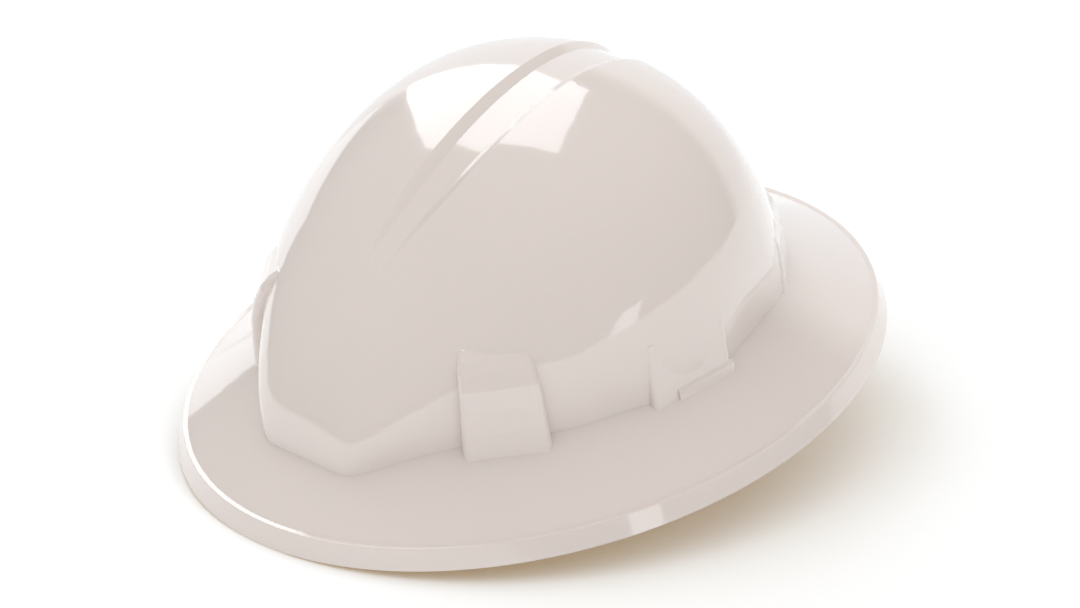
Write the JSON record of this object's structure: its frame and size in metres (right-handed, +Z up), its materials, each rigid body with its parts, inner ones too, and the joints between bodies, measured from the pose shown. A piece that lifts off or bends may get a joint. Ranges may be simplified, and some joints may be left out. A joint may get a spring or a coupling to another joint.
{
  "type": "full brim hard hat",
  "caption": "Hard hat with a wide brim all round: ribbed moulded shell over a strap suspension with a headband and nape ratchet.",
  "frame": {"origin": "centre of the ellipse drawn by the lower edge of the brim's lip", "axes": "+Z up through the crown, front of the hat towards -Y, the wearer's left towards +X"},
  "size_m": [0.27, 0.312, 0.1611],
  "materials": {
    "shell": "gloss moulded, orange peel very light",
    "key": "moulded nylon",
    "webbing": "woven polyester",
    "pad": "foam backed knit",
    "band": "moulded polyethylene",
    "stud": "moulded acetal",
    "brow_fabric": "terry over foam",
    "tail": "flexible nylon",
    "housing": "fine grained nylon",
    "steel": "zinc plated",
    "gear": "natural acetal",
    "knob": "textured nylon"
  },
  "bodies": {
    "shell": {"shell": "shell"},
    "suspension": {"key_front_left": "key", "key_front_right": "key", "key_rear_left": "key", "key_rear_right": "key", "strap_lower": "webbing", "strap_upper": "webbing", "crown_pad": "pad", "headband": "band", "band_studs": "stud", "brow_pad": "brow_fabric", "tail_guides": "band", "ratchet_back": "housing", "ratchet_cover": "housing", "cover_screws": "steel", "nape_strap": "tail", "nape_pad": "brow_fabric"},
    "left_tail": {"tail_left": "tail"},
    "right_tail": {"tail_right": "tail"},
    "knob": {"knob": "knob", "pinion": "gear", "pawl": "gear", "knob_washer": "steel", "knob_screw": "steel"}
  },
  "joints": [
    {"name": "suspension_slide", "type": "slide", "parent": "shell", "child": "suspension", "axis": [0, 0, -1], "range_m": [0, 0.045]},
    {"name": "knob_turn", "type": "hinge", "parent": "suspension", "child": "knob", "pos_m": [0, 0.0917, -0.018], "axis": [0, -1, 0], "range_deg": [0, 211.5]},
    {"name": "left_tail_arc", "type": "hinge", "parent": "suspension", "child": "left_tail", "pos_m": [0, 0.008, -0.018], "axis": [0, 0, 1], "range_deg": [0, 16.43]},
    {"name": "right_tail_arc", "type": "hinge", "parent": "suspension", "child": "right_tail", "pos_m": [0, 0.008, -0.018], "axis": [0, 0, -1], "range_deg": [0, 16.43]}
  ],
  "couplings": [
    {"joint": "left_tail_arc", "follows": "knob_turn", "ratio": 0.077658},
    {"joint": "right_tail_arc", "follows": "knob_turn", "ratio": 0.077658}
  ]
}
